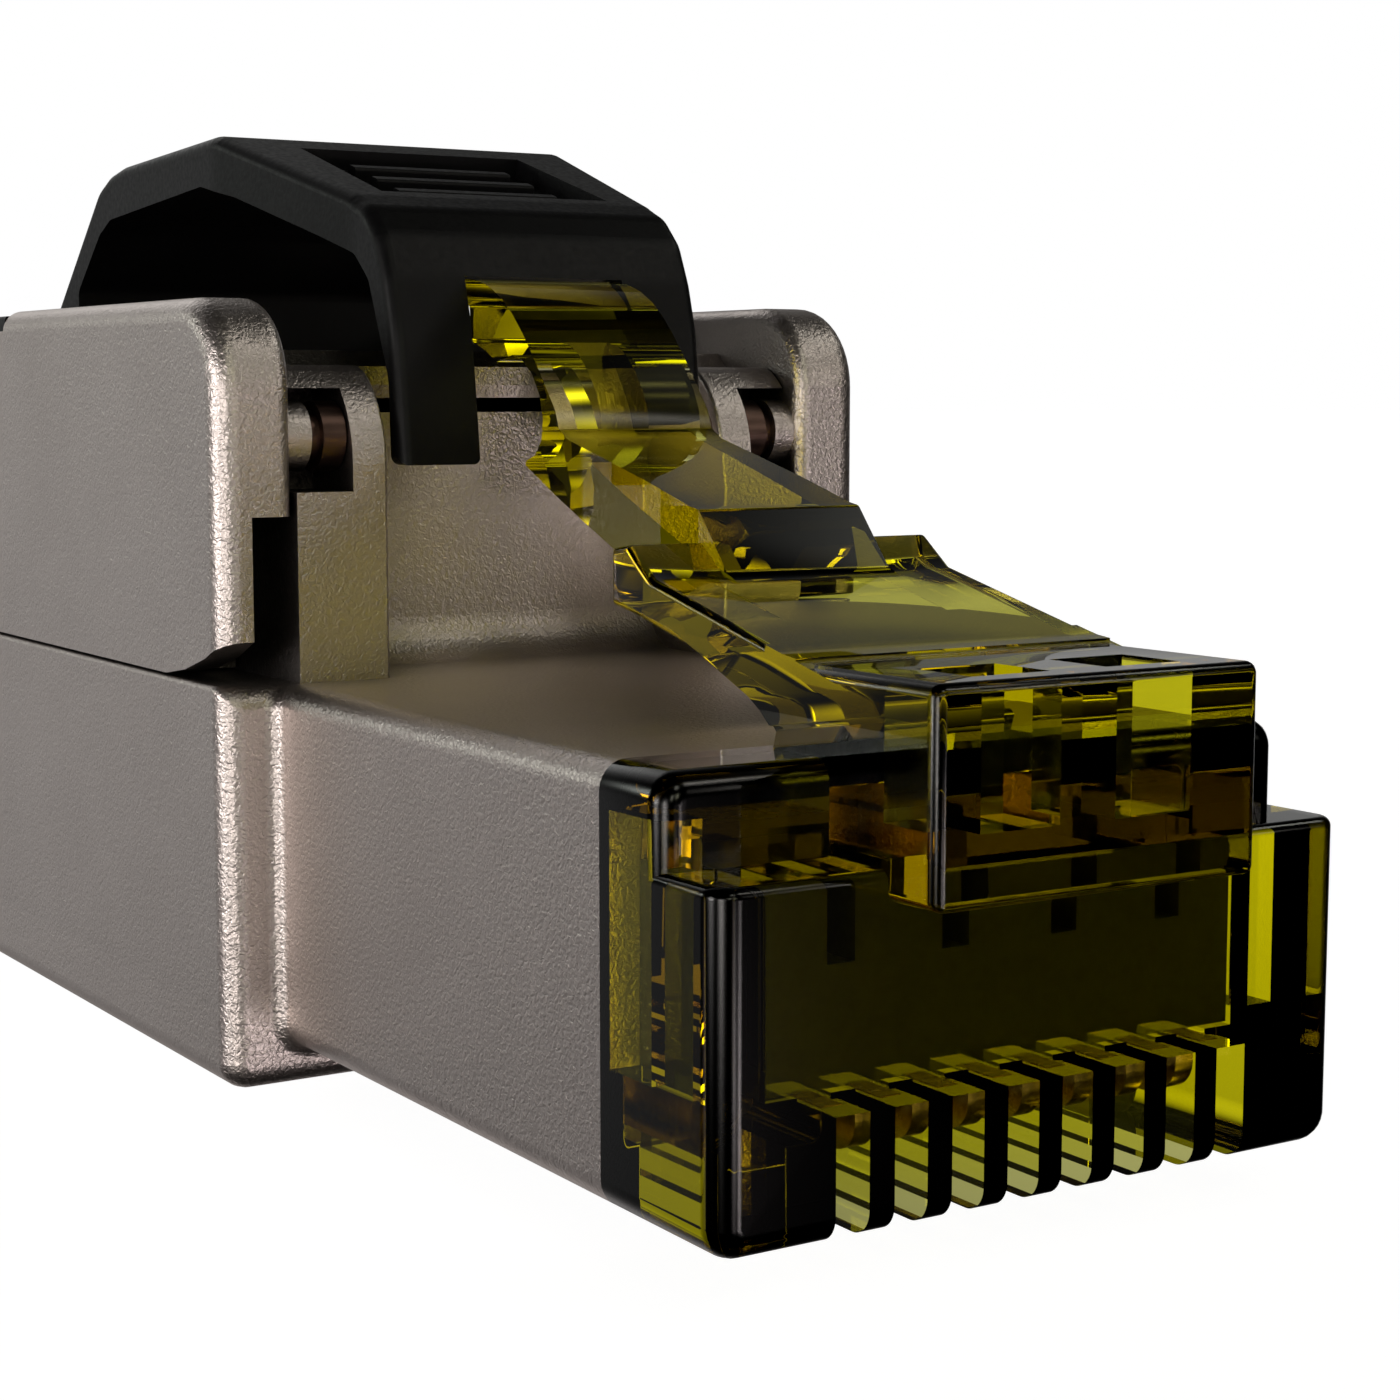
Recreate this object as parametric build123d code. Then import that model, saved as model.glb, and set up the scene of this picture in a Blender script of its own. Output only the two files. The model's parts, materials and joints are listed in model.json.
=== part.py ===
from build123d import *
import math
import os

os.makedirs("parts", exist_ok=True)

# ---------------------------------------------------------------- driving dimensions (mm)
# Working frame: X right seen from the front, nose face at y = 0, +Y towards the cable,
# nose underside at z = 0. Everything is moved to the part's own frame at the end.
NOSE_HW = 5.84            # half of the standard 11.68 mm nose width
NOSE_H = 6.63
LEDGE_Z = 5.23            # top of the full-length lower nose
LEDGE_Y = 1.43            # the upper nose starts here
METAL_Y = 3.10            # front edge of the metal neck
TAIL_HW = 4.90            # the nose's tail inside the neck
HOUSE_Y = 14.48           # front face of the housing
HOUSE_HW = 6.92
HOUSE_Z0 = -0.742
PART_Z = 6.63             # parting line between housing and cover
PART_GAP = 0.05
TOP_Z = 13.52             # top of the cover walls
WALL_IN = 5.45            # inner face of the cover walls
REAR_Y = 38.5             # rear face of the housing
END_Y = 44.5              # rear end of the cable collar
HINGE_Y, HINGE_Z = 15.30, 11.04
PIN_R = 0.47
PIN_BORE_R = 0.50
PIN_COLLAR_R = 0.64
POST_IN, POST_OUT = 3.61, 5.40
BACK_Y = 17.20            # rear wall of the channel between the posts
BACK_TOP = 11.44
ROOF_Y = 17.15
ROOF_Z0, ROOF_Z1 = 11.72, 12.62
LATCH_HW = 3.0
TONGUE_HW = 1.6
FLEX_Y, FLEX_Z = 2.35, 7.45
FLEX_R = 0.72
FLEX_GAP = 0.03
LEVER_HW = 4.0
LEVER_NOSE_HW = 3.32
LEVER_PIN_Y, LEVER_PIN_Z = 30.62, 12.75
LEVER_PIN_R = 0.50
LEVER_BORE_R = 0.54
LEVER_BARREL_R = 0.95
SLOT_HW = 1.70            # slot between the lever's two legs
SLOT_R = 2.94             # the slot's top is an arc about the cover hinge
CONTACT_PITCH = 1.02
SLOT_W = 0.58
BLADE_W = 0.36
CABLE_Z = PART_Z + PART_GAP / 2
COLLAR_R = 5.6
COLLAR_BORE = 4.2
SEAL_R = 4.1
SEAL_BORE = 3.25
SHIFT_Y = -(-1.045 + END_Y) / 2
SHIFT_Z = -HOUSE_Z0


# ---------------------------------------------------------------- helpers
def box(x0, x1, y0, y1, z0, z1):
    return Pos((x0 + x1) / 2, (y0 + y1) / 2, (z0 + z1) / 2) * Box(abs(x1 - x0), abs(y1 - y0), abs(z1 - z0))


def rounded_edges(pts, place):
    """Edges of a closed outline; each point is (a, b) or (a, b, radius)."""
    n = len(pts)
    corners = []
    for i in range(n):
        p = pts[i]
        a, b = p[0], p[1]
        r = p[2] if len(p) > 2 else 0.0
        if r <= 0:
            corners.append(((a, b), None, (a, b)))
            continue
        pa, pb = pts[i - 1][0] - a, pts[i - 1][1] - b
        na, nb = pts[(i + 1) % n][0] - a, pts[(i + 1) % n][1] - b
        lp, ln = math.hypot(pa, pb), math.hypot(na, nb)
        pa, pb, na, nb = pa / lp, pb / lp, na / ln, nb / ln
        ang = math.acos(max(-1.0, min(1.0, pa * na + pb * nb)))
        t = r / math.tan(ang / 2)
        ba, bb = pa + na, pb + nb
        lb = math.hypot(ba, bb)
        d = r / math.sin(ang / 2)
        ca, cb = a + ba / lb * d, b + bb / lb * d
        mid = (ca - ba / lb * r, cb - bb / lb * r)
        corners.append(((a + pa * t, b + pb * t), mid, (a + na * t, b + nb * t)))
    edges = []
    for i in range(n):
        s, m, e = corners[i]
        if m is not None:
            edges.append(ThreePointArc(place(*s), place(*m), place(*e)))
        nxt = corners[(i + 1) % n][0]
        if math.hypot(nxt[0] - e[0], nxt[1] - e[1]) > 1e-6:
            edges.append(Line(place(*e), place(*nxt)))
    return edges


def prism_x(pts, x0, x1):
    """Outline in (y, z), pushed along X from x0 to x1."""
    e = rounded_edges(pts, lambda a, b: (x0, a, b))
    return Solid.extrude(Face(Wire(e)), Vector(x1 - x0, 0, 0))


def prism_y(pts, y0, y1):
    """Outline in (x, z), pushed along Y from y0 to y1."""
    e = rounded_edges(pts, lambda a, b: (a, y0, b))
    return Solid.extrude(Face(Wire(e)), Vector(0, y1 - y0, 0))


def prism_z(pts, z0, z1):
    """Outline in (x, y), pushed along Z from z0 to z1."""
    e = rounded_edges(pts, lambda a, b: (a, b, z0))
    return Solid.extrude(Face(Wire(e)), Vector(0, 0, z1 - z0))


def rod_x(x0, x1, y, z, r):
    return Pos((x0 + x1) / 2, y, z) * Rot(0, 90, 0) * Cylinder(r, abs(x1 - x0))


def rod_y(y0, y1, x, z, r):
    return Pos(x, (y0 + y1) / 2, z) * Rot(90, 0, 0) * Cylinder(r, abs(y1 - y0))


def soften(part, choose, radii, label=""):
    """Fillet the chosen edges with the first radius that gives a sound solid."""
    part = Part() + part
    for r in radii:
        try:
            edges = choose(part)
            if not edges:
                print("no edge for", label)
                return part
            new = fillet(edges, r)
            if new.is_valid and abs(new.volume) > 0.5 * abs(part.volume):
                return Part() + new
        except Exception:
            pass
    print("kept sharp:", label)
    return part


def near(v, t, tol=1e-3):
    return abs(v - t) < tol


def edge_box(e):
    b = e.bounding_box()
    return b.min.X, b.max.X, b.min.Y, b.max.Y, b.min.Z, b.max.Z


# ---------------------------------------------------------------- lower housing (die cast)
hw = HOUSE_HW
house = prism_y([(-hw, HOUSE_Z0, 0.5), (hw, HOUSE_Z0, 0.5), (hw, PART_Z, 0.1), (-hw, PART_Z, 0.1)], HOUSE_Y, REAR_Y)


def pick_front(p):
    out = []
    for e in p.edges():
        x0, x1, y0, y1, z0, z1 = edge_box(e)
        if near(y0, HOUSE_Y) and near(y1, HOUSE_Y) and z0 < PART_Z - 0.11:
            out.append(e)
    return out


def pick_rear(p):
    out = []
    for e in p.edges():
        x0, x1, y0, y1, z0, z1 = edge_box(e)
        if near(y0, REAR_Y) and near(y1, REAR_Y) and z0 < PART_Z - 0.11:
            out.append(e)
    return out


house = soften(house, pick_front, [0.45, 0.4, 0.3], "housing front")
house = soften(house, pick_rear, [0.6, 0.4, 0.3], "housing rear")

neck = prism_y([(-NOSE_HW, 0, 0.5), (NOSE_HW, 0, 0.5), (NOSE_HW, NOSE_H, 0.45), (-NOSE_HW, NOSE_H, 0.45)],
               METAL_Y, HOUSE_Y + 0.9)
neck = Part() + neck
# thin shell of metal folded round the front edge is only eased
house = Part() + house + neck

# concave corner between neck and housing
def pick_neck(p):
    out = []
    for e in p.edges():
        x0, x1, y0, y1, z0, z1 = edge_box(e)
        if near(y0, HOUSE_Y) and near(y1, HOUSE_Y) and x0 > -5.9 and x1 < 5.9 and z0 > -0.05 and z1 < NOSE_H - 0.1:
            out.append(e)
    return out


print("neck corner edges", len(pick_neck(house)))
house = soften(house, pick_neck, [0.285, 0.25, 0.2], "neck corner")

# two posts that carry the cover hinge; the front of each leans back in a wide arc to its top
POST_R, POST_R_Z = 2.0, 10.55
post_cy = HOUSE_Y + POST_R
arc_a = math.radians(28)
arc_b = math.radians(56)
for s in (-1, 1):
    crown = (post_cy - POST_R * math.cos(arc_b), POST_R_Z + POST_R * math.sin(arc_b))
    mid = (post_cy - POST_R * math.cos(arc_a), POST_R_Z + POST_R * math.sin(arc_a))
    post_profile = [
        Line((s * POST_IN, HOUSE_Y, PART_Z - 0.5), (s * POST_IN, HOUSE_Y, POST_R_Z)),
        ThreePointArc((s * POST_IN, HOUSE_Y, POST_R_Z), (s * POST_IN, mid[0], mid[1]), (s * POST_IN, crown[0], crown[1])),
        ThreePointArc((s * POST_IN, crown[0], crown[1]), (s * POST_IN, 15.60, 12.305), (s * POST_IN, 16.10, 12.24)),
        Line((s * POST_IN, 16.10, 12.24), (s * POST_IN, BACK_Y, BACK_TOP)),
        Line((s * POST_IN, BACK_Y, BACK_TOP), (s * POST_IN, BACK_Y + 1.0, BACK_TOP)),
        Line((s * POST_IN, BACK_Y + 1.0, BACK_TOP), (s * POST_IN, BACK_Y + 1.0, PART_Z - 0.5)),
        Line((s * POST_IN, BACK_Y + 1.0, PART_Z - 0.5), (s * POST_IN, HOUSE_Y, PART_Z - 0.5)),
    ]
    post = Part() + Solid.extrude(Face(Wire(post_profile)), Vector(s * (POST_OUT - POST_IN), 0, 0))

    def pick_post(p, s=s):
        """Inner front outline of the post."""
        out = []
        for e in p.edges():
            x0, x1, y0, y1, z0, z1 = edge_box(e)
            if near(x0, s * POST_IN) and near(x1, s * POST_IN) and y1 < 16.2 and z0 > PART_Z - 0.55 and (z1 - z0) > 0.05:
                out.append(e)
        return out

    post = soften(post, pick_post, [0.07, 0.05], "post edges")
    house = house + post

# wall behind the channel, with the rounded foot of the channel
house = house + box(-POST_OUT, POST_OUT, BACK_Y, BACK_Y + 1.0, PART_Z - 0.5, BACK_TOP)
foot_r = 0.85
q = foot_r * (1 - math.sqrt(0.5))
e = [Line((-POST_IN - 0.1, BACK_Y - foot_r, PART_Z - 0.2), (-POST_IN - 0.1, BACK_Y - foot_r, PART_Z)),
     ThreePointArc((-POST_IN - 0.1, BACK_Y - foot_r, PART_Z), (-POST_IN - 0.1, BACK_Y - q, PART_Z + q),
                   (-POST_IN - 0.1, BACK_Y, PART_Z + foot_r)),
     Line((-POST_IN - 0.1, BACK_Y, PART_Z + foot_r), (-POST_IN - 0.1, BACK_Y + 0.2, PART_Z + foot_r)),
     Line((-POST_IN - 0.1, BACK_Y + 0.2, PART_Z + foot_r), (-POST_IN - 0.1, BACK_Y + 0.2, PART_Z - 0.2)),
     Line((-POST_IN - 0.1, BACK_Y + 0.2, PART_Z - 0.2), (-POST_IN - 0.1, BACK_Y - foot_r, PART_Z - 0.2))]
house = house + Solid.extrude(Face(Wire(e)), Vector(2 * POST_IN + 0.2, 0, 0))

# lower half of the cable collar
collar = rod_y(REAR_Y - 1.0, END_Y, 0, CABLE_Z, COLLAR_R)
collar_groove = rod_y(41.0, 42.6, 0, CABLE_Z, COLLAR_R + 1) - rod_y(41.0, 42.6, 0, CABLE_Z, COLLAR_R - 0.5)
collar = soften(collar, lambda p: [e for e in p.edges() if near(edge_box(e)[2], END_Y) and near(edge_box(e)[3], END_Y)],
                [0.4], "collar end")
collar = collar - collar_groove
house = house + (collar & box(-9, 9, REAR_Y - 1.0, END_Y + 1, -3, PART_Z))

# hollow: pocket for the nose, way for the board, main chamber, collar bore
house = house - prism_y([(-TAIL_HW - 0.02, 0.88, 0.2), (TAIL_HW + 0.02, 0.88, 0.2), (TAIL_HW + 0.02, 5.92, 0.2), (-TAIL_HW - 0.02, 5.92, 0.2)], METAL_Y - 1, 6.05)
house = house - box(-4.30, 4.30, METAL_Y - 1, 6.0, -1, 1)
house = house - box(-4.90, 4.90, 5.9, 19, 2.9, 5.9)
house = house - box(-4.90, 4.90, 5.9, 7.65, 0.7, 2.95)
house = house - box(-4.10, 4.10, 5.9, 19, 0.7, 2.95)
house = house - box(-5.70, 5.70, 18.2, 37.0, 2.9, PART_Z + 1)
house = house - box(-4.30, 4.30, 18.0, 37.0, 0.55, 2.95)
house = house - rod_y(36, END_Y + 1, 0, CABLE_Z, COLLAR_BORE)
# ledges that carry the cable cradle
for s in (-1, 1):
    house = house + box(s * 4.95, s * 5.75, 30.2, 35.4, 2.0, 6.05)
# hinge: bore through each post, with the window that opens its outer half
for s in (-1, 1):
    house = house - rod_x(s * (POST_IN - 0.3), s * (POST_OUT + 0.2), HINGE_Y, HINGE_Z, PIN_BORE_R)
    house = house - box(s * 4.30, s * (POST_OUT + 0.5), HOUSE_Y - 0.5, 16.25, 10.05, 11.905)

lower_housing = house

# ---------------------------------------------------------------- upper cover (die cast)
z_open = PART_Z + PART_GAP


def cover_outline(front_low):
    corner = 1.6
    pts = [(HOUSE_Y, TOP_Z, corner), (REAR_Y, TOP_Z, 0.6), (REAR_Y, z_open)]
    return pts


def wall_solid(s):
    # outer skin reaches down to the swing relief; the inner part stops at a notch
    outer_pts = [(HOUSE_Y, 7.42), (HOUSE_Y, TOP_Z, 1.6), (REAR_Y, TOP_Z, 0.6), (REAR_Y, z_open), (17.10, z_open),
                 (16.15, 6.83), (15.20, 7.10)]
    inner_pts = [(HOUSE_Y, 9.63), (HOUSE_Y, TOP_Z, 1.6), (REAR_Y, TOP_Z, 0.6), (REAR_Y, z_open), (17.35, z_open),
                 (17.35, 9.63)]
    outer = Part() + prism_x(outer_pts, s * 5.75, s * hw)
    outer = soften(outer, lambda p: [e for e in p.edges()
                                     if near(edge_box(e)[0], min(s * hw, s * hw)) and near(edge_box(e)[1], s * hw)
                                     and (edge_box(e)[5] > 7.45 or near(edge_box(e)[2], HOUSE_Y))
                                     and not (near(edge_box(e)[4], z_open) and near(edge_box(e)[5], z_open))
                                     and edge_box(e)[4] > 6.0 and not (near(edge_box(e)[5], 7.42) or near(edge_box(e)[5], 7.10))],
                   [0.45, 0.38, 0.3, 0.2], "cover wall outer")
    outer = outer & box(s * 6.27, s * (hw + 1), 0, 60, 0, 30)
    inner = Part() + prism_x(inner_pts, s * WALL_IN, s * 6.27)
    inner = soften(inner, lambda p: [e for e in p.edges()
                                     if near(edge_box(e)[0], s * WALL_IN) and near(edge_box(e)[1], s * WALL_IN)
                                     and edge_box(e)[4] > 9.6 and edge_box(e)[3] < REAR_Y - 0.01 and edge_box(e)[5] > 9.7],
                   [0.28, 0.2, 0.12], "cover wall inner")
    return outer + inner


cover = wall_solid(-1) + wall_solid(1)
# roof between the walls; it dips under the lever's barrel and ends in a solid deck
roof_pts = [(ROOF_Y, ROOF_Z0 + 0.25), (ROOF_Y + 0.05, ROOF_Z0), (28.4, ROOF_Z0), (28.9, 10.75), (33.2, 10.75), (33.7, ROOF_Z0),
            (37.0, ROOF_Z0), (37.0, z_open), (REAR_Y, z_open), (REAR_Y, TOP_Z, 0.6), (35.7, TOP_Z), (35.7, ROOF_Z1),
            (32.75, ROOF_Z1), (32.75, 11.65), (29.0, 11.65), (29.0, ROOF_Z1), (ROOF_Y + 0.3, ROOF_Z1), (ROOF_Y, ROOF_Z1 - 0.3)]
cover = cover + prism_x(roof_pts, -5.8, 5.8)
# seat for the lever's base in the tops of the walls
cover = cover - box(-hw - 1, hw + 1, 26.10, 35.60, 13.10, TOP_Z + 1)
cover = cover - box(-4.25, 4.25, 29.0, 32.75, 11.65, TOP_Z + 1)
# upper half of the cable collar
cover = cover + (collar & box(-9, 9, REAR_Y - 0.8, END_Y + 1, z_open, 20))
cover = cover - (rod_y(36, END_Y + 1, 0, CABLE_Z, COLLAR_BORE) & box(-9, 9, 30, 60, 0, ROOF_Z0 - 0.05))
# bosses round the hinge pins
for s in (-1, 1):
    boss = rod_x(s * 5.01, s * (WALL_IN + 0.3), HINGE_Y, HINGE_Z, PIN_COLLAR_R)
    cover = cover + boss
    cover = cover - rod_x(s * 4.9, s * 6.25, HINGE_Y, HINGE_Z, PIN_R)
    # closing tongues that slide inside the housing's side walls
    cover = cover + prism_x([(20.0, 5.30, 0.3), (28.0, 5.30, 0.3), (28.0, 8.0), (20.0, 8.0)], s * 5.12, s * 5.60)
upper_cover = cover

# ---------------------------------------------------------------- hinge pins
hinge_pin_left = rod_x(-3.75, -6.22, HINGE_Y, HINGE_Z, PIN_R - 0.002) + rod_x(-4.34, -4.78, HINGE_Y, HINGE_Z, PIN_COLLAR_R)
hinge_pin_right = rod_x(3.75, 6.22, HINGE_Y, HINGE_Z, PIN_R - 0.002) + rod_x(4.34, 4.78, HINGE_Y, HINGE_Z, PIN_COLLAR_R)

# ---------------------------------------------------------------- nose insulator (clear amber moulding)
lower_nose = prism_y([(-NOSE_HW, 0, 0.5), (NOSE_HW, 0, 0.5), (NOSE_HW, LEDGE_Z), (-NOSE_HW, LEDGE_Z)], 0, METAL_Y)


def pick_nose(p):
    out = []
    for e in p.edges():
        x0, x1, y0, y1, z0, z1 = edge_box(e)
        if near(y0, 0) and near(y1, 0) and z0 < LEDGE_Z - 0.01:
            out.append(e)
    return out


lower_nose = soften(lower_nose, pick_nose, [0.42, 0.35, 0.3], "nose front")
lower_nose = soften(lower_nose, lambda p: [e for e in p.edges()
                                           if near(edge_box(e)[4], LEDGE_Z) and near(edge_box(e)[5], LEDGE_Z)
                                           and edge_box(e)[2] < 0.5 and edge_box(e)[3] < METAL_Y - 0.1],
                    [0.16, 0.1], "ledge edge")
upper_nose = Part() + prism_y([(-NOSE_HW, LEDGE_Z - 1.2), (NOSE_HW, LEDGE_Z - 1.2), (NOSE_HW, NOSE_H, 0.45),
                               (-NOSE_HW, NOSE_H, 0.45)], LEDGE_Y, METAL_Y)


def pick_upper(p):
    out = []
    for e in p.edges():
        x0, x1, y0, y1, z0, z1 = edge_box(e)
        if near(y0, LEDGE_Y) and near(y1, LEDGE_Y) and z1 > LEDGE_Z - 1.0:
            out.append(e)
    return out


upper_nose = soften(upper_nose, pick_upper, [0.36, 0.3, 0.2], "upper nose front")
upper_nose = upper_nose & box(-9, 9, 0, 9, LEDGE_Z - 0.4, 9)
nose = lower_nose + (upper_nose & box(-9, 9, 0, 9, LEDGE_Z - 0.2, 9))
# tail inside the metal neck, and the floor that fills the neck's window
nose = nose + prism_y([(-TAIL_HW, 0.9, 0.18), (TAIL_HW, 0.9, 0.18), (TAIL_HW, 5.9, 0.18), (-TAIL_HW, 5.9, 0.18)], METAL_Y - 0.2, 6.0)
nose = nose + box(-4.28, 4.28, METAL_Y - 0.2, 5.97, 0, 1.2)

# proud front block that the latch grows from
block = Part() + prism_x([(-1.045, 4.77, 0.08), (-1.045, 7.93, 0.16), (2.12, 7.92), (3.4, 8.217), (3.4, 6.70), (2.6, 6.0), (2.6, 4.77)],
                         -LATCH_HW, LATCH_HW)
block = soften(block, lambda p: [e for e in p.edges() if abs(edge_box(e)[0] - edge_box(e)[1]) < 1e-3
                                 and near(edge_box(e)[2], -1.045) and near(edge_box(e)[3], -1.045)],
               [0.2, 0.16, 0.12], "block corners")
flex_rod = rod_x(-5, 5, FLEX_Y, FLEX_Z, FLEX_R)
front_part = block & box(-5, 5, -3, FLEX_Y, 0, 12)
root_part = (block & flex_rod) & box(-5, 5, FLEX_Y - 0.2, 5, 0, 12)
root_fill = prism_x([(FLEX_Y - 0.2, 6.3), (2.93, 6.3), (2.87, 6.63), (2.79, 6.88), (FLEX_Y - 0.2, 7.45)], -LATCH_HW, LATCH_HW)
nose = nose + front_part + root_part + root_fill
# pockets in the block's top
for s in (-1, 1):
    nose = nose - prism_z([(s * 0.51, -0.45), (s * 1.94, -0.45), (s * 1.94, 0.82), (s * 0.51, 0.82)], 5.75, 9)
# hollow behind the front wall
nose = nose - box(-4.40, 4.40, 1.60, 7, 1.90, 5.05)
for s in (-1, 1):
    nose = nose - box(s * 4.95, s * 5.45, 1.95, METAL_Y + 0.1, 2.10, 5.90)
# contact slots
slot_x = [(-3.5 + i) * CONTACT_PITCH for i in range(8)]
for x in slot_x:
    nose = nose - box(x - SLOT_W / 2, x + SLOT_W / 2, -1, 1.75, -1, 1.85)
    nose = nose - box(x - SLOT_W / 2, x + SLOT_W / 2, 1.0, 5.6, -1, 1.60)
    nose = nose - box(x - SLOT_W / 2, x + SLOT_W / 2, 1.60, 5.6, -1, 2.2)
nose_insulator = nose

# ---------------------------------------------------------------- latch (same clear moulding, beyond the bend)
wide = prism_x([(2.6, 8.03), (6.35, 8.90), (7.05, 9.41, 0.08), (7.58, 9.34, 0.06), (7.58, 8.42, 0.06), (6.62, 8.245),
                (4.88, 7.84), (3.55, 7.33), (3.22, 7.14), (2.98, 6.95), (2.6, 6.95)], -LATCH_HW, LATCH_HW)
wide = soften(wide, lambda p: [e for e in p.edges() if near(edge_box(e)[0], edge_box(e)[1]) and abs((e @ 0.5).X) > 2.9
                               and ((e @ 0.5).Z > 8.15 + ((e @ 0.5).Y - 2.6) * 0.12) and (e @ 0.5).Y > 2.65 and (e @ 0.5).Y < 7.57],
              [0.13, 0.1, 0.07], "latch edges")
tongue_pts = [(4.6, 8.2), (6.27, 8.96), (7.12, 9.94, 0.15), (7.37, 9.98), (8.62, 10.32), (10.12, 10.69), (11.4, 11.0),
              (11.72, 11.18), (11.84, 11.5), (12.25, 12.0), (12.66, 12.48), (13.03, 12.88), (13.42, 13.242), (13.80, 13.516),
              (14.22, 13.726), (14.62, 13.854), (15.05, 13.924), (15.55, 13.924, 0.1), (15.50, 13.57, 0.1), (15.08, 13.43, 0.1),
              (15.0, 12.78, 0.1), (14.48, 12.60), (14.02, 12.38),
              (13.43, 12.50), (13.05, 12.40), (12.70, 12.16), (12.42, 11.78), (12.30, 11.36), (12.36, 10.98), (12.6, 10.71),
              (13.05, 10.56, 0.06), (11.7, 9.94), (9.9, 9.19), (7.58, 8.45), (6.0, 8.08), (4.6, 7.76)]
tongue = prism_x(tongue_pts, -TONGUE_HW, TONGUE_HW)
web = prism_x([(12.2, 10.6), (13.05, 10.56), (13.35, 11.3), (14.02, 12.38), (13.4, 12.6), (12.3, 12.0)], -0.5, 0.5)
tab = Part() + wide + tongue + web
tab = tab - rod_x(-5, 5, FLEX_Y, FLEX_Z, FLEX_R + FLEX_GAP) - box(-5, 5, 1.0, FLEX_Y + 0.2, 5, 10)
latch_tab = tab

# ---------------------------------------------------------------- release lever (black moulding)
outer_prof = [(14.50, 10.50), (14.80, 13.00, 3.0), (15.06, 13.93, 1.6), (15.42, 14.73, 0.7), (15.95, 15.25, 0.7),
              (16.60, 15.515, 0.9), (21.50, 16.94, 0.9), (26.80, 16.70, 1.5), (27.60, 16.57, 1.0), (28.30, 16.29, 1.0),
              (31.20, 13.77, 0.8), (31.57, 12.75)]
inner_prof = [(29.67, 12.75), (29.67, 14.10, 0.3), (28.20, 15.29, 0.4), (27.50, 15.59, 0.4), (22.20, 15.97, 0.5),
              (20.70, 15.67, 0.6), (17.70, 14.80, 0.8), (16.40, 14.40, 0.4), (15.80, 13.90, 0.5), (15.40, 12.97, 0.6),
              (15.00, 12.05, 0.8), (14.94, 10.50)]
lever = Part() + prism_x(outer_prof + inner_prof, -LEVER_HW, LEVER_HW)
plan = [(-LEVER_HW, 34), (-LEVER_HW, 21.5, 4), (-LEVER_NOSE_HW, 16.5, 4), (-LEVER_NOSE_HW, 12), (LEVER_NOSE_HW, 12),
        (LEVER_NOSE_HW, 16.5, 4), (LEVER_HW, 21.5, 4), (LEVER_HW, 34)]
lever = lever & prism_z(plan, 5, 20)


def outline_gap(c, prof):
    """Shortest distance in the (y, z) plane from a point to an open outline."""
    best = 9
    for i in range(len(prof) - 1):
        ay, az, by, bz = prof[i][0], prof[i][1], prof[i + 1][0], prof[i + 1][1]
        run = math.hypot(by - ay, bz - az)
        t = max(0, min(1, ((c.Y - ay) * (by - ay) + (c.Z - az) * (bz - az)) / run / run))
        best = min(best, math.hypot(c.Y - ay - t * (by - ay), c.Z - az - t * (bz - az)))
    return best


def pick_lever(p):
    """Long outer edges of the arch, both sides."""
    out = []
    for e in p.edges():
        x0, x1, y0, y1, z0, z1 = edge_box(e)
        c = e @ 0.5
        if abs(c.X) > 2.9 and (x1 - x0) < 0.95 and max(y1 - y0, z1 - z0) > 0.02:
            gap_out, gap_in = outline_gap(c, outer_prof), outline_gap(c, inner_prof)
            if gap_out < gap_in and gap_out < 0.4 and c.Z > 10.6:
                out.append(e)
    return out


lever = soften(lever, pick_lever, [0.25, 0.22, 0.3, 0.2, 0.15], "lever outer edges")
# barrel on the pin
lever = lever + rod_x(-LEVER_HW, LEVER_HW, LEVER_PIN_Y, LEVER_PIN_Z, LEVER_BARREL_R)
lever = lever - rod_x(-LEVER_HW - 1, LEVER_HW + 1, LEVER_PIN_Y, LEVER_PIN_Z, LEVER_BORE_R)
# slot between the legs, its top an arc about the cover hinge
slot = rod_x(-SLOT_HW, SLOT_HW, HINGE_Y, HINGE_Z, SLOT_R) + box(-SLOT_HW, SLOT_HW, 12, HINGE_Y + 1.5, 8, HINGE_Z)
lever = lever - slot
# rounded lower corners of the legs
for s in (-1, 1):
    for x, r, way in ((LEVER_NOSE_HW, 0.18, -1), (SLOT_HW, 0.14, 1)):
        corner = box(s * (x - way * 0.1), s * (x + way * r), 12, 17, 10.3, 10.5 + r)
        corner = corner - rod_y(11, 18, s * (x + way * r), 10.5 + r, r)
        lever = lever - corner
# recess in the sloped top with plain grip bars
slope = math.atan2(16.94 - 15.50, 21.50 - 16.55)


def on_slope(y, d):
    """Point on the sloped top at y, moved d along its normal."""
    t = (y - 16.55) / math.cos(slope)
    return (16.55 + t * math.cos(slope) - d * math.sin(slope), 15.50 + t * math.sin(slope) + d * math.cos(slope))


a0, a1 = on_slope(20.66, -0.40), on_slope(20.66, 1.2)
b0, b1 = on_slope(16.95, -0.40), on_slope(16.95, 1.2)
lever = lever - prism_x([a0, a1, b1, b0], -2.47, 2.47)
for y in (17.75, 18.75, 19.75):
    p0, p1 = on_slope(y - 0.16, -0.45), on_slope(y - 0.16, -0.12)
    p2, p3 = on_slope(y + 0.16, -0.12), on_slope(y + 0.16, -0.45)
    lever = lever + prism_x([p0, (p1[0], p1[1], 0.06), (p2[0], p2[1], 0.06), p3], -1.75, 1.75)
release_lever = lever

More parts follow.
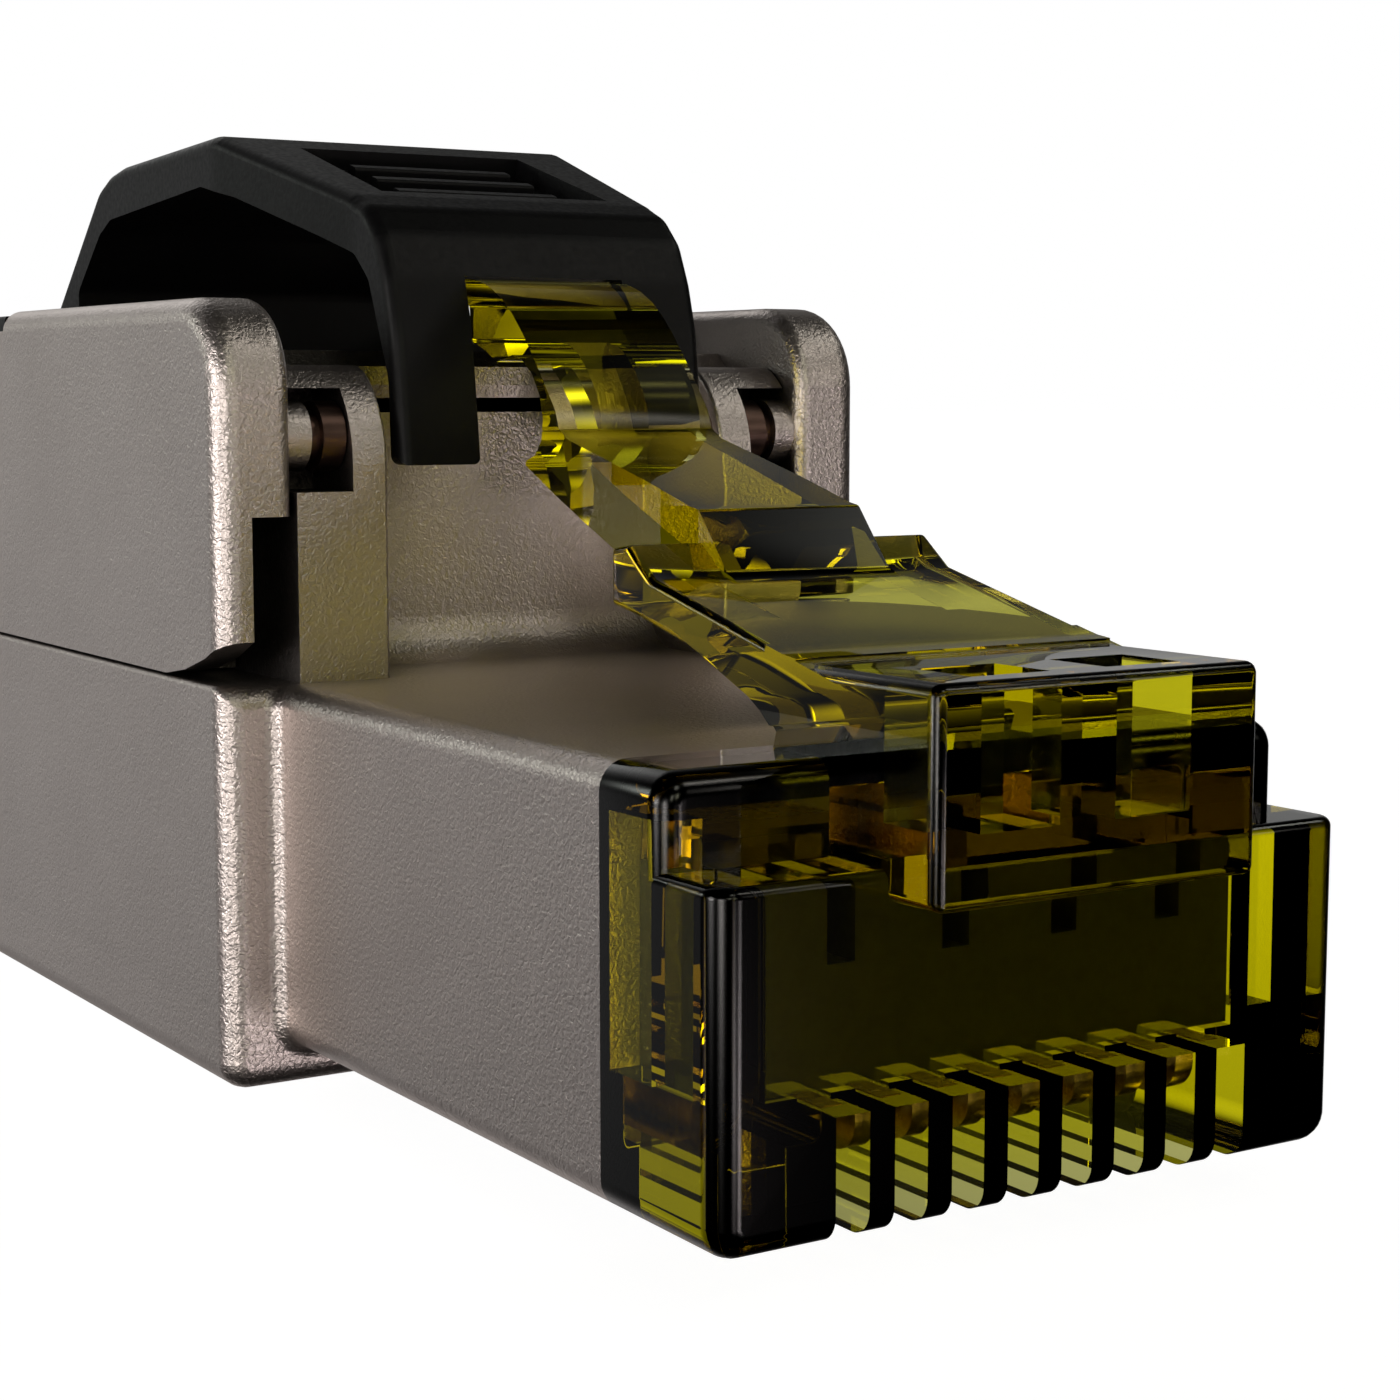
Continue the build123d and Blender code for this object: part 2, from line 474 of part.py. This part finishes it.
# ---------------------------------------------------------------- lever base and pin
base = box(-6.86, 6.86, 26.14, 35.56, 13.10, 13.42)
base = Part() + base + box(-5.42, 5.42, 26.14, 35.56, 12.63, 13.42)
base = base - box(-4.22, 4.22, 24, 33.0, 12, 14)
for s in (-1, 1):
    base = base + box(s * 4.22, s * 5.42, 29.05, 32.70, 12.4, 13.42)
    cover_pocket = box(s * 4.24, s * 5.44, 29.0, 32.75, 11.65, 13.2)
    upper_cover = upper_cover - cover_pocket
    base = base + box(s * 4.22, s * 5.40, 29.05, 32.70, 11.68, 13.0)
base = base - rod_x(-5.30, 5.30, LEVER_PIN_Y, LEVER_PIN_Z, LEVER_PIN_R)
base = soften(base, lambda p: [e for e in p.edges() if near(edge_box(e)[4], 13.42) and near(edge_box(e)[5], 13.42)
                               and (edge_box(e)[0] < -6.8 or edge_box(e)[1] > 6.8)], [0.1, 0.06], "base top")
lever_base = base
lever_pin = rod_x(-5.25, 5.25, LEVER_PIN_Y, LEVER_PIN_Z, LEVER_PIN_R - 0.002)

# ---------------------------------------------------------------- contact carrier and contacts
carrier = Part() + prism_y([(-4.35, 1.95), (4.35, 1.95), (4.35, 5.00, 0.3), (-4.35, 5.00, 0.3)], 1.65, 7.60)
for x in (-3.07, -1.02, 1.02, 3.07):
    carrier = carrier - box(x - 0.245, x + 0.245, 1.0, 2.9, 3.75, 6)
for x in slot_x:
    carrier = carrier - box(x - 0.21, x + 0.21, 3.2, 8.0, 1.0, 2.92)
carrier = carrier - box(-3.9, 3.9, 6.4, 8.0, 3.3, 4.6)
contact_carrier = carrier

contacts = {}
for i, x in enumerate(slot_x):
    blade = prism_x([(0.80, 1.86, 0.08), (0.80, 0.95, 0.5), (5.30, 0.95, 0.3), (5.30, 2.46), (9.60, 2.46), (9.60, 2.90),
                     (3.25, 2.90), (3.25, 1.86)], x - BLADE_W / 2, x + BLADE_W / 2)
    contacts["contact_%d" % (i + 1)] = Part() + blade

# ---------------------------------------------------------------- board, connection block, terminals
board = Part() + box(-4.70, 4.70, 7.70, 28.5, 2.90, 3.70)
term_pos = [(x, y) for y in (21.6, 25.6) for x in (-3.6, -1.2, 1.2, 3.6)]
for (x, y) in term_pos:
    board = board - box(x - 0.25, x + 0.25, y - 0.25, y + 0.25, 2, 4)
circuit_board = board

conn = Part() + prism_x([(19.0, 3.70), (28.2, 3.70), (28.2, 7.60, 0.3), (19.0, 7.60, 0.3)], -4.95, 4.95)
for (x, y) in term_pos:
    conn = conn - box(x - 0.88, x + 0.88, y - 0.22, y + 0.22, 3, 9)
for x in (-3.6, -1.2, 1.2, 3.6):
    conn = conn - box(x - 0.55, x + 0.55, 18, 30, 6.0, 8)
connection_block = conn

terminals = {}
for i, (x, y) in enumerate(term_pos):
    t = Part() + box(x - 0.85, x + 0.85, y - 0.18, y + 0.18, 3.70, 8.30)
    t = t + box(x - 0.2, x + 0.2, y - 0.18, y + 0.18, 2.35, 3.8)
    e = [Line((x - 0.55, y - 1, 8.4), (x - 0.12, y - 1, 7.6)), Line((x - 0.12, y - 1, 7.6), (x - 0.12, y - 1, 5.6)),
         Line((x - 0.12, y - 1, 5.6), (x + 0.12, y - 1, 5.6)), Line((x + 0.12, y - 1, 5.6), (x + 0.12, y - 1, 7.6)),
         Line((x + 0.12, y - 1, 7.6), (x + 0.55, y - 1, 8.4)), Line((x + 0.55, y - 1, 8.4), (x - 0.55, y - 1, 8.4))]
    t = t - Solid.extrude(Face(Wire(e)), Vector(0, 2, 0))
    terminals["terminal_%d" % (i + 1)] = t

# ---------------------------------------------------------------- wire manager
manager = Part() + prism_x([(19.3, 7.60), (28.1, 7.60), (28.1, 11.30, 0.6), (19.3, 11.30, 0.6)], -4.95, 4.95)
for (x, y) in term_pos:
    manager = manager - box(x - 1.0, x + 1.0, y - 0.35, y + 0.35, 7, 8.7)
for x in (-3.6, -1.2, 1.2, 3.6):
    manager = manager - rod_y(20.6, 30, x, 8.25, 0.52)
    manager = manager - rod_y(24.6, 30, x, 10.05, 0.52)
wire_manager = manager

# ---------------------------------------------------------------- shield spring (in the cover) and cable cradle
def half_ring(r0, r1, y0, y1, z_lo, z_hi):
    return (rod_y(y0, y1, 0, CABLE_Z, r1) - rod_y(y0, y1, 0, CABLE_Z, r0)) & box(-9, 9, y0, y1, z_lo, z_hi)


shield = half_ring(3.55, 3.80, 30.4, 35.2, 6.95, 20)
shield = Part() + shield
for s in (-1, 1):
    shield = shield + box(s * 3.60, s * 5.45, 30.4, 35.2, 6.95, 7.20)
shield_spring = shield
cradle = half_ring(3.55, 3.80, 30.4, 35.2, -3, 6.30)
cradle = Part() + cradle
for s in (-1, 1):
    cradle = cradle + box(s * 3.60, s * 5.65, 30.4, 35.2, 6.05, 6.30)
cable_cradle = cradle

# ---------------------------------------------------------------- cable seal
seal = rod_y(36.35, END_Y - 0.2, 0, CABLE_Z, SEAL_R)
seal = Part() + seal + rod_y(36.35, 36.95, 0, CABLE_Z, 4.85)
seal = seal - rod_y(30, END_Y + 1, 0, CABLE_Z, SEAL_BORE)
cable_seal = seal

# ---------------------------------------------------------------- write
nodes = {
    "lower_housing": lower_housing, "upper_cover": upper_cover, "hinge_pin_left": hinge_pin_left,
    "hinge_pin_right": hinge_pin_right, "nose_insulator": nose_insulator, "latch_tab": latch_tab,
    "release_lever": release_lever, "lever_base": lever_base, "lever_pin": lever_pin,
    "contact_carrier": contact_carrier, "circuit_board": circuit_board, "connection_block": connection_block,
    "wire_manager": wire_manager, "shield_spring": shield_spring, "cable_cradle": cable_cradle, "cable_seal": cable_seal,
}
nodes.update(contacts)
nodes.update(terminals)

for name, shape in nodes.items():
    solids = shape.solids()
    if len(solids) != 1:
        print("pieces in", name, len(solids), [round(q.volume, 4) for q in solids])
    out = Pos(0, SHIFT_Y, SHIFT_Z) * (solids[0] if len(solids) == 1 else Compound(solids))
    export_step(out, os.path.join("parts", name + ".step"))
b = Compound([Pos(0, SHIFT_Y, SHIFT_Z) * s.solids()[0] for s in nodes.values()]).bounding_box()
print("nodes", len(nodes), "box", b.min, b.max, "shift", SHIFT_Y, SHIFT_Z)
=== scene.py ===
import math
import json

import bpy
import bmesh
from mathutils import Vector, Matrix


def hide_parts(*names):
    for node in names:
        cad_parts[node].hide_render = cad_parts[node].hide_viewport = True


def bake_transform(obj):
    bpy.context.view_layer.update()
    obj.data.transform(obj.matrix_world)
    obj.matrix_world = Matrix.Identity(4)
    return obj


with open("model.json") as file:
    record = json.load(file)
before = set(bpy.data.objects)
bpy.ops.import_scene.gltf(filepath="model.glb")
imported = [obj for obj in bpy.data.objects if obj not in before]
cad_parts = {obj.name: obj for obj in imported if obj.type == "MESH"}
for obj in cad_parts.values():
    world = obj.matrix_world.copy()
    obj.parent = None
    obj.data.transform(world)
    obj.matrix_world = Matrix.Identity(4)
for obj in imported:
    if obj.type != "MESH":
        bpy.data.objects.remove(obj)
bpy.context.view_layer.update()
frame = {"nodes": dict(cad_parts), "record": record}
nodes = frame["nodes"]

MM = 0.001
# soft lights of the studio: azimuth (0 in front, 90 on the left, 180 behind), elevation, tightness, strength, tint
SKY = [
    (-20, -15, 150, 4.6, (1.12, 1.0, 1.0)),
    (0, -15, 150, 2.6, (1.12, 1.0, 1.0)),
    (50, -2, 60, 5.2, (1.06, 1.0, 0.95)),
    (90, 4, 60, 8.0, (1.04, 1.0, 0.97)),
    (120, -15, 150, 0.5, (1.15, 1.0, 1.05)),
    (-40, 15, 150, 2.9, (1.06, 1.0, 0.90)),
    (0, 15, 150, 2.2, (1.0, 1.0, 0.70)),
    (20, 15, 150, 2.2, (1.0, 1.0, 0.78)),
    (140, 15, 150, 3.4, (0.94, 1.0, 0.92)),
    (-40, 45, 150, 2.5, (1.05, 1.0, 0.90)),
    (-80, 45, 150, 3.0, (1.0, 1.0, 0.90)),
    (0, 45, 150, 2.5, (1.0, 1.0, 0.85)),
    (165, -5, 20, 0.43, (1.0, 1.0, 1.0)),
    (-172, -38, 20, 0.45, (1.06, 1.0, 0.98)),
    (-135, -5, 20, 0.56, (1.0, 1.0, 0.98)),
    (-150, 30, 20, 0.12, (1.0, 1.0, 0.98)),
    (-178, 28, 30, 1.2, (1.0, 1.0, 0.98)),
]
SHIFT_Y, SHIFT_Z = -21.7275, 0.742      # from the nose-face frame (mm) to the row frame


def row(x, y, z):
    """A point of the nose-face frame, in mm, as a row-frame point in metres."""
    return Vector((x * MM, (y + SHIFT_Y) * MM, (z + SHIFT_Z) * MM))


# ------------------------------------------------------------------ camera
cam_data = bpy.data.cameras.new("camera")
cam = bpy.data.objects.new("camera", cam_data)
bpy.context.scene.collection.objects.link(cam)
cam.location = row(-24.470, -28.881, 11.866)
cam.rotation_euler = (math.radians(90 - 6.7378), 0, math.radians(-32.4558))
cam_data.sensor_fit = "HORIZONTAL"
cam_data.sensor_width = 36
cam_data.lens = 2622.22 / 1400 * 36
cam_data.clip_start = 0.001
cam_data.clip_end = 10
bpy.context.scene.camera = cam


# ------------------------------------------------------------------ node helpers
def new_material(name):
    m = bpy.data.materials.new(name)
    m.use_nodes = True
    nt = m.node_tree
    nt.nodes.clear()
    out = nt.nodes.new("ShaderNodeOutputMaterial")
    bsdf = nt.nodes.new("ShaderNodeBsdfPrincipled")
    nt.links.new(bsdf.outputs[0], out.inputs["Surface"])
    return m, nt, bsdf, out


def coords(nt, scale):
    tc = nt.nodes.new("ShaderNodeTexCoord")
    mp = nt.nodes.new("ShaderNodeMapping")
    mp.inputs["Scale"].default_value = scale
    nt.links.new(tc.outputs["Object"], mp.inputs["Vector"])
    return mp.outputs[0]


def noise(nt, vec, scale, detail=4, rough=0.5, distort=0.0):
    n = nt.nodes.new("ShaderNodeTexNoise")
    n.inputs["Scale"].default_value = scale
    n.inputs["Detail"].default_value = detail
    n.inputs["Roughness"].default_value = rough
    n.inputs["Distortion"].default_value = distort
    nt.links.new(vec, n.inputs["Vector"])
    return n.outputs["Fac"]


def ramp(nt, fac, stops):
    r = nt.nodes.new("ShaderNodeValToRGB")
    el = r.color_ramp.elements
    while len(el) < len(stops):
        el.new(0.5)
    for e, (p, c) in zip(el, stops):
        e.position = p
        e.color = (*c, 1)
    nt.links.new(fac, r.inputs[0])
    return r.outputs[0]


def to_range(nt, fac, lo, hi, a=0.0, b=1.0):
    r = nt.nodes.new("ShaderNodeMapRange")
    r.inputs["From Min"].default_value = a
    r.inputs["From Max"].default_value = b
    r.inputs["To Min"].default_value = lo
    r.inputs["To Max"].default_value = hi
    nt.links.new(fac, r.inputs["Value"])
    return r.outputs[0]


def add(nt, a, b, wa=1.0, wb=1.0):
    m1 = nt.nodes.new("ShaderNodeMath")
    m1.operation = "MULTIPLY"
    m1.inputs[1].default_value = wa
    nt.links.new(a, m1.inputs[0])
    m2 = nt.nodes.new("ShaderNodeMath")
    m2.operation = "MULTIPLY_ADD"
    m2.inputs[1].default_value = wb
    nt.links.new(b, m2.inputs[0])
    nt.links.new(m1.outputs[0], m2.inputs[2])
    return m2.outputs[0]


def bump(nt, bsdf, height, strength, distance):
    b = nt.nodes.new("ShaderNodeBump")
    b.inputs["Strength"].default_value = strength
    b.inputs["Distance"].default_value = distance
    nt.links.new(height, b.inputs["Height"])
    nt.links.new(b.outputs[0], bsdf.inputs["Normal"])
    return b


# ------------------------------------------------------------------ materials
def die_cast():
    m, nt, bsdf, out = new_material("die_cast")
    v = coords(nt, (1, 1, 1))
    grain = noise(nt, v, 12500, 1, 0.4, 0.8)
    grain2 = noise(nt, v, 5200, 2, 0.5, 0.4)
    broad = noise(nt, v, 260, 4, 0.6)
    col = ramp(nt, broad, [(0.25, (0.700, 0.625, 0.590)), (0.75, (0.775, 0.697, 0.660))])
    # painted shade: the base colour is darkened in recesses, where an ambient occlusion node finds nearby surfaces
    shade = nt.nodes.new("ShaderNodeAmbientOcclusion")
    shade.samples = 6
    shade.inputs["Distance"].default_value = 0.003
    nt.links.new(col, shade.inputs["Color"])
    painted_shade_fac = to_range(nt, shade.outputs["AO"], 0.07, 1.0, 0.15, 0.76)
    # the painted shade is lifted on the front rim, which stands against clear plastic that lets the light in
    along = nt.nodes.new("ShaderNodeSeparateXYZ")
    nt.links.new(v, along.inputs[0])
    rim = to_range(nt, along.outputs["Y"], 1.0, 0.0, (4.8 + SHIFT_Y) * MM, (5.8 + SHIFT_Y) * MM)
    # and on the underside, so that what the plug rests on paints no shade there
    low = to_range(nt, along.outputs["Z"], 1.0, 0.0, 1.4 * MM, 2.6 * MM)
    for open_part in (rim, low):
        most = nt.nodes.new("ShaderNodeMath")
        most.operation = "MAXIMUM"
        nt.links.new(painted_shade_fac, most.inputs[0])
        nt.links.new(open_part, most.inputs[1])
        painted_shade_fac = most.outputs[0]
    # painted shade: the base colour is mixed toward a near-black brown by the painted shade factor
    painted_shade_mix = nt.nodes.new("ShaderNodeMix")
    painted_shade_mix.data_type = "RGBA"
    painted_shade_mix.inputs["A"].default_value = (0.02, 0.017, 0.015, 1)
    nt.links.new(painted_shade_fac, painted_shade_mix.inputs["Factor"])
    nt.links.new(col, painted_shade_mix.inputs["B"])
    nt.links.new(painted_shade_mix.outputs["Result"], bsdf.inputs["Base Color"])
    bsdf.inputs["Metallic"].default_value = 1.0
    rgh = to_range(nt, grain, 0.34, 0.42, 0.3, 0.7)
    nt.links.new(rgh, bsdf.inputs["Roughness"])
    h = add(nt, grain, grain2, 1.0, 0.30)
    bump(nt, bsdf, h, 1.0, 0.0000175)
    return m


def black_plastic():
    m, nt, bsdf, out = new_material("black_plastic")
    v = coords(nt, (1, 1, 1))
    fine = noise(nt, v, 9000, 3, 0.5)
    broad = noise(nt, v, 420, 3, 0.6)
    col = ramp(nt, broad, [(0.3, (0.0035, 0.0035, 0.004)), (0.7, (0.006, 0.006, 0.0065))])
    nt.links.new(col, bsdf.inputs["Base Color"])
    rgh = to_range(nt, fine, 0.36, 0.50, 0.3, 0.7)
    nt.links.new(rgh, bsdf.inputs["Roughness"])
    bump(nt, bsdf, fine, 0.10, 0.00004)
    bsdf.inputs["IOR"].default_value = 1.31
    return m


def amber():
    m, nt, bsdf, out = new_material("clear_amber")
    bsdf.inputs["Base Color"].default_value = (1.0, 1.0, 1.0, 1)
    bsdf.inputs["Transmission Weight"].default_value = 1.0
    bsdf.inputs["IOR"].default_value = 1.45
    v = coords(nt, (1, 1, 1))
    n = noise(nt, v, 900, 3, 0.5)
    rgh = to_range(nt, n, 0.0, 0.005, 0.3, 0.7)
    nt.links.new(rgh, bsdf.inputs["Roughness"])
    vol = nt.nodes.new("ShaderNodeVolumeAbsorption")
    vol.inputs["Color"].default_value = (0.975, 0.956, 0.0, 1)
    vol.inputs["Density"].default_value = 2200
    nt.links.new(vol.outputs[0], out.inputs["Volume"])
    return m


def steel(name, base, rough, metal=1.0):
    m, nt, bsdf, out = new_material(name)
    v = coords(nt, (0.25, 1, 1))
    n = noise(nt, v, 5200, 4, 0.6)
    col = ramp(nt, n, [(0.3, tuple(c * 0.82 for c in base)), (0.7, base)])
    nt.links.new(col, bsdf.inputs["Base Color"])
    bsdf.inputs["Metallic"].default_value = metal
    nt.links.new(to_range(nt, n, rough - 0.06, rough + 0.08, 0.3, 0.7), bsdf.inputs["Roughness"])
    bump(nt, bsdf, n, 0.15, 0.00003)
    return m


def plastic(name, base, rough, grain=7000, strength=0.15, spread=0.12):
    m, nt, bsdf, out = new_material(name)
    v = coords(nt, (1, 1, 1))
    fine = noise(nt, v, grain, 3, 0.5)
    broad = noise(nt, v, 300, 3, 0.6)
    col = ramp(nt, broad, [(0.3, tuple(c * (1 - spread) for c in base)), (0.7, tuple(min(1, c * (1 + spread)) for c in base))])
    nt.links.new(col, bsdf.inputs["Base Color"])
    nt.links.new(to_range(nt, fine, rough - 0.06, rough + 0.08, 0.3, 0.7), bsdf.inputs["Roughness"])
    bump(nt, bsdf, fine, strength, 0.00004)
    return m


MAT = {
    "die_cast": die_cast(),
    "clear_amber": amber(),
    "black_plastic": black_plastic(),
    "dark_steel": steel("dark_steel", (0.16, 0.10, 0.08), 0.34),
    "bright_steel": steel("bright_steel", (0.56, 0.55, 0.54), 0.30),
    "dark_carrier": plastic("dark_carrier", (0.016, 0.018, 0.016), 0.60),
    "board": plastic("board", (0.012, 0.10, 0.045), 0.28, 4000, 0.08),
    "pale_plastic": plastic("pale_plastic", (0.66, 0.63, 0.56), 0.42),
    "grey_plastic": plastic("grey_plastic", (0.22, 0.225, 0.23), 0.44),
    "seal_rubber": plastic("seal_rubber", (0.018, 0.018, 0.019), 0.62, 5000, 0.3),
    "contact_gold": steel("contact_gold", (0.78, 0.55, 0.20), 0.20),
    "terminal_metal": steel("terminal_metal", (0.62, 0.59, 0.53), 0.30),
}
slot_of = {s["node"]: s["material_slot"] for s in frame["record"]["subparts"]}
for name, ob in nodes.items():
    mat = MAT[slot_of[name]]
    if not ob.data.materials:
        ob.data.materials.append(mat)
    for i in range(len(ob.data.materials)):
        ob.data.materials[i] = mat


# ------------------------------------------------------------------ clear nose and latch, moulded in one
def copy_mesh(node, name):
    me = nodes[node].data.copy()
    ob = bpy.data.objects.new(name, me)
    bpy.context.scene.collection.objects.link(ob)
    return ob


def weld(ob, dist=2e-6):
    bm = bmesh.new()
    bm.from_mesh(ob.data)
    bmesh.ops.remove_doubles(bm, verts=bm.verts, dist=dist)
    bm.to_mesh(ob.data)
    bm.free()
    if "custom_normal" in ob.data.attributes:
        ob.data.attributes.remove(ob.data.attributes["custom_normal"])


def apply_modifiers(ob):
    dg = bpy.context.evaluated_depsgraph_get()
    me = bpy.data.meshes.new_from_object(ob.evaluated_get(dg))
    old = ob.data
    ob.modifiers.clear()
    ob.data = me
    bpy.data.meshes.remove(old)


def prism(name, pts, x0, x1):
    """Closed prism from a (y, z) outline in the nose-face frame, between x0 and x1."""
    bm = bmesh.new()
    a = [bm.verts.new(row(x0, y, z)) for y, z in pts]
    b = [bm.verts.new(row(x1, y, z)) for y, z in pts]
    bm.faces.new(a)
    bm.faces.new(list(reversed(b)))
    n = len(pts)
    for i in range(n):
        bm.faces.new([a[i], b[i], b[(i + 1) % n], a[(i + 1) % n]][::-1])
    bmesh.ops.recalc_face_normals(bm, faces=bm.faces)
    me = bpy.data.meshes.new(name)
    bm.to_mesh(me)
    bm.free()
    ob = bpy.data.objects.new(name, me)
    bpy.context.scene.collection.objects.link(ob)
    return ob


clear = copy_mesh("nose_insulator", "clear_nose_and_latch")
tab = copy_mesh("latch_tab", "tab_work")
weld(clear)
weld(tab)
bridge = prism("bridge_work", [(2.30, 8.0), (2.62, 8.034), (3.10, 8.145), (3.16, 7.30), (3.02, 6.99), (2.80, 6.93), (2.30, 7.0)],
               -3.0, 3.0)
for other in (tab, bridge):
    mod = clear.modifiers.new("join", "BOOLEAN")
    mod.operation = "UNION"
    mod.solver = "EXACT"
    mod.object = other
apply_modifiers(clear)
for o in (tab, bridge):
    me = o.data
    bpy.data.objects.remove(o)
    bpy.data.meshes.remove(me)
weld(clear, 1e-6)
clear.data.materials.clear()
clear.data.materials.append(MAT["clear_amber"])
# flat faces stay flat, the rounded edges between them shade smoothly
bm = bmesh.new()
bm.from_mesh(clear.data)
bmesh.ops.dissolve_degenerate(bm, dist=2e-7, edges=bm.edges)
for f in bm.faces:
    f.smooth = True
for e in bm.edges:
    e.smooth = len(e.link_faces) == 2 and e.calc_face_angle(0.0) < math.radians(31)
bm.to_mesh(clear.data)
bm.free()
mod = clear.modifiers.new("face_normals", "WEIGHTED_NORMAL")
mod.mode = "FACE_AREA"
mod.weight = 100
mod.keep_sharp = True
apply_modifiers(clear)
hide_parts("nose_insulator", "latch_tab")
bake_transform(clear)

# ------------------------------------------------------------------ floor and light
def grid_plane(name, half, z):
    me = bpy.data.meshes.new(name)
    b = bmesh.new()
    vs = [b.verts.new((x * half, y * half, z)) for x, y in ((-1, -1), (1, -1), (1, 1), (-1, 1))]
    b.faces.new(vs)
    b.to_mesh(me)
    b.free()
    o = bpy.data.objects.new(name, me)
    bpy.context.scene.collection.objects.link(o)
    return o


floor = grid_plane("floor", 1.2, 0)
fm = bpy.data.materials.new("floor")
fm.use_nodes = True
nt = fm.node_tree
nt.nodes.clear()
out = nt.nodes.new("ShaderNodeOutputMaterial")
lp = nt.nodes.new("ShaderNodeLightPath")
mix = nt.nodes.new("ShaderNodeMixShader")
# only seen from above, so that the underside can be looked at through it
side = nt.nodes.new("ShaderNodeNewGeometry")
above = nt.nodes.new("ShaderNodeMath")
above.operation = "SUBTRACT"
above.use_clamp = True
nt.links.new(lp.outputs["Is Camera Ray"], above.inputs[0])
nt.links.new(side.outputs["Backfacing"], above.inputs[1])
nt.links.new(above.outputs[0], mix.inputs[0])
# seen directly: a pale sheet with a faint shadow
seen = nt.nodes.new("ShaderNodeAddShader")
em = nt.nodes.new("ShaderNodeEmission")
em.inputs["Color"].default_value = (1, 1, 1, 1)
em.inputs["Strength"].default_value = 0.96
df = nt.nodes.new("ShaderNodeBsdfDiffuse")
df.inputs["Color"].default_value = (0.30, 0.30, 0.30, 1)
nt.links.new(em.outputs[0], seen.inputs[0])
nt.links.new(df.outputs[0], seen.inputs[1])
# the object sees the studio through it
clear_way = nt.nodes.new("ShaderNodeBsdfTransparent")
nt.links.new(clear_way.outputs[0], mix.inputs[1])
nt.links.new(seen.outputs[0], mix.inputs[2])
nt.links.new(mix.outputs[0], out.inputs["Surface"])
floor.data.materials.append(fm)

world = bpy.data.worlds.new("world")
bpy.context.scene.world = world
world.use_nodes = True
nt = world.node_tree
nt.nodes.clear()
out = nt.nodes.new("ShaderNodeOutputWorld")
lp = nt.nodes.new("ShaderNodeLightPath")
mix = nt.nodes.new("ShaderNodeMixShader")
white = nt.nodes.new("ShaderNodeBackground")
white.inputs[0].default_value = (1, 1, 1, 1)
white.inputs[1].default_value = 1.0
room = nt.nodes.new("ShaderNodeBackground")
tc = nt.nodes.new("ShaderNodeTexCoord")
total = None
for az, el, tight, power, tint in SKY:
    ra, re = math.radians(az), math.radians(el)
    dot = nt.nodes.new("ShaderNodeVectorMath")
    dot.operation = "DOT_PRODUCT"
    dot.inputs[1].default_value = (-math.sin(ra) * math.cos(re), -math.cos(ra) * math.cos(re), math.sin(re))
    nt.links.new(tc.outputs["Generated"], dot.inputs[0])
    front = nt.nodes.new("ShaderNodeMath")
    front.operation = "MAXIMUM"
    front.inputs[1].default_value = 0
    nt.links.new(dot.outputs["Value"], front.inputs[0])
    fall = nt.nodes.new("ShaderNodeMath")
    fall.operation = "POWER"
    fall.inputs[1].default_value = tight
    nt.links.new(front.outputs[0], fall.inputs[0])
    glow = nt.nodes.new("ShaderNodeVectorMath")
    glow.operation = "SCALE"
    glow.inputs[0].default_value = [power * c for c in tint]
    nt.links.new(fall.outputs[0], glow.inputs["Scale"])
    if total is None:
        total = glow.outputs[0]
    else:
        both = nt.nodes.new("ShaderNodeVectorMath")
        both.operation = "ADD"
        nt.links.new(total, both.inputs[0])
        nt.links.new(glow.outputs[0], both.inputs[1])
        total = both.outputs[0]
nt.links.new(total, room.inputs[0])
nt.links.new(lp.outputs["Is Camera Ray"], mix.inputs[0])
nt.links.new(room.outputs[0], mix.inputs[1])
nt.links.new(white.outputs[0], mix.inputs[2])
nt.links.new(mix.outputs[0], out.inputs["Surface"])
bpy.context.scene.view_settings.view_transform = "Standard"
